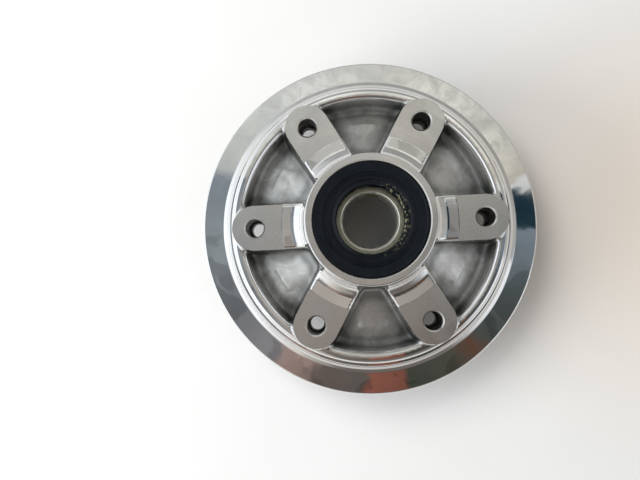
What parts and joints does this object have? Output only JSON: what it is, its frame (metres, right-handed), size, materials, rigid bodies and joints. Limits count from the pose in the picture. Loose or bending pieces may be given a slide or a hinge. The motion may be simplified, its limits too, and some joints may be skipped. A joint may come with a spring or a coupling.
{
  "type": "sprocket carrier hub",
  "caption": "Polished cast-aluminium sprocket carrier of a cush-drive wheel: wide round flange, radial arms with drilled lugs, and a ball bearing behind a rubber oil seal in the boss.",
  "frame": {"origin": "hub axis at the rear face of the spigot, which the part stands on", "axes": "+Z along the hub axis, towards the sprocket side; +X through one of the bolt holes"},
  "size_m": [0.198, 0.198, 0.0646],
  "materials": {
    "cast_aluminium": "polished",
    "bearing_steel": "ground",
    "ball_steel": "polished",
    "cage_steel": "pressed",
    "spring_steel": "phosphated",
    "seal_rubber": "moulded"
  },
  "bodies": {
    "carrier": {"carrier_casting": "cast_aluminium", "bearing_outer_ring": "bearing_steel", "bearing_circlip": "spring_steel", "seal_rubber": "seal_rubber", "seal_case": "spring_steel", "garter_spring": "spring_steel", "rear_o_ring": "seal_rubber"},
    "inner_race": {"bearing_inner_ring": "bearing_steel"},
    "ball_cage": {"cage_front": "cage_steel", "cage_rear": "cage_steel", "cage_rivet_1": "cage_steel", "cage_rivet_2": "cage_steel", "cage_rivet_3": "cage_steel", "cage_rivet_4": "cage_steel", "cage_rivet_5": "cage_steel", "cage_rivet_6": "cage_steel", "cage_rivet_7": "cage_steel", "cage_rivet_8": "cage_steel", "cage_rivet_9": "cage_steel"},
    "rolling_ball_1": {"ball_1": "ball_steel"},
    "rolling_ball_2": {"ball_2": "ball_steel"},
    "rolling_ball_3": {"ball_3": "ball_steel"},
    "rolling_ball_4": {"ball_4": "ball_steel"},
    "rolling_ball_5": {"ball_5": "ball_steel"},
    "rolling_ball_6": {"ball_6": "ball_steel"},
    "rolling_ball_7": {"ball_7": "ball_steel"},
    "rolling_ball_8": {"ball_8": "ball_steel"},
    "rolling_ball_9": {"ball_9": "ball_steel"}
  },
  "joints": [
    {"name": "inner_ring_spin", "type": "hinge", "parent": "carrier", "child": "inner_race", "pos_m": [0, 0, 0.0472], "axis": [0, 0, 1], "continuous": true},
    {"name": "cage_spin", "type": "hinge", "parent": "carrier", "child": "ball_cage", "pos_m": [0, 0, 0.0472], "axis": [0, 0, 1], "continuous": true},
    {"name": "ball_1_spin", "type": "hinge", "parent": "ball_cage", "child": "rolling_ball_1", "pos_m": [0.023, 0, 0.0472], "axis": [0, 0, 1], "continuous": true},
    {"name": "ball_2_spin", "type": "hinge", "parent": "ball_cage", "child": "rolling_ball_2", "pos_m": [0.01762, 0.01478, 0.0472], "axis": [0, 0, 1], "continuous": true},
    {"name": "ball_3_spin", "type": "hinge", "parent": "ball_cage", "child": "rolling_ball_3", "pos_m": [0.00399, 0.02265, 0.0472], "axis": [0, 0, 1], "continuous": true},
    {"name": "ball_4_spin", "type": "hinge", "parent": "ball_cage", "child": "rolling_ball_4", "pos_m": [-0.0115, 0.01992, 0.0472], "axis": [0, 0, 1], "continuous": true},
    {"name": "ball_5_spin", "type": "hinge", "parent": "ball_cage", "child": "rolling_ball_5", "pos_m": [-0.02161, 0.00787, 0.0472], "axis": [0, 0, 1], "continuous": true},
    {"name": "ball_6_spin", "type": "hinge", "parent": "ball_cage", "child": "rolling_ball_6", "pos_m": [-0.02161, -0.00787, 0.0472], "axis": [0, 0, 1], "continuous": true},
    {"name": "ball_7_spin", "type": "hinge", "parent": "ball_cage", "child": "rolling_ball_7", "pos_m": [-0.0115, -0.01992, 0.0472], "axis": [0, 0, 1], "continuous": true},
    {"name": "ball_8_spin", "type": "hinge", "parent": "ball_cage", "child": "rolling_ball_8", "pos_m": [0.00399, -0.02265, 0.0472], "axis": [0, 0, 1], "continuous": true},
    {"name": "ball_9_spin", "type": "hinge", "parent": "ball_cage", "child": "rolling_ball_9", "pos_m": [0.01762, -0.01478, 0.0472], "axis": [0, 0, 1], "continuous": true}
  ],
  "couplings": [
    {"joint": "cage_spin", "follows": "inner_ring_spin", "ratio": 0.39647},
    {"joint": "ball_1_spin", "follows": "inner_ring_spin", "ratio": -2.3112},
    {"joint": "ball_2_spin", "follows": "inner_ring_spin", "ratio": -2.3112},
    {"joint": "ball_3_spin", "follows": "inner_ring_spin", "ratio": -2.3112},
    {"joint": "ball_4_spin", "follows": "inner_ring_spin", "ratio": -2.3112},
    {"joint": "ball_5_spin", "follows": "inner_ring_spin", "ratio": -2.3112},
    {"joint": "ball_6_spin", "follows": "inner_ring_spin", "ratio": -2.3112},
    {"joint": "ball_7_spin", "follows": "inner_ring_spin", "ratio": -2.3112},
    {"joint": "ball_8_spin", "follows": "inner_ring_spin", "ratio": -2.3112},
    {"joint": "ball_9_spin", "follows": "inner_ring_spin", "ratio": -2.3112}
  ]
}
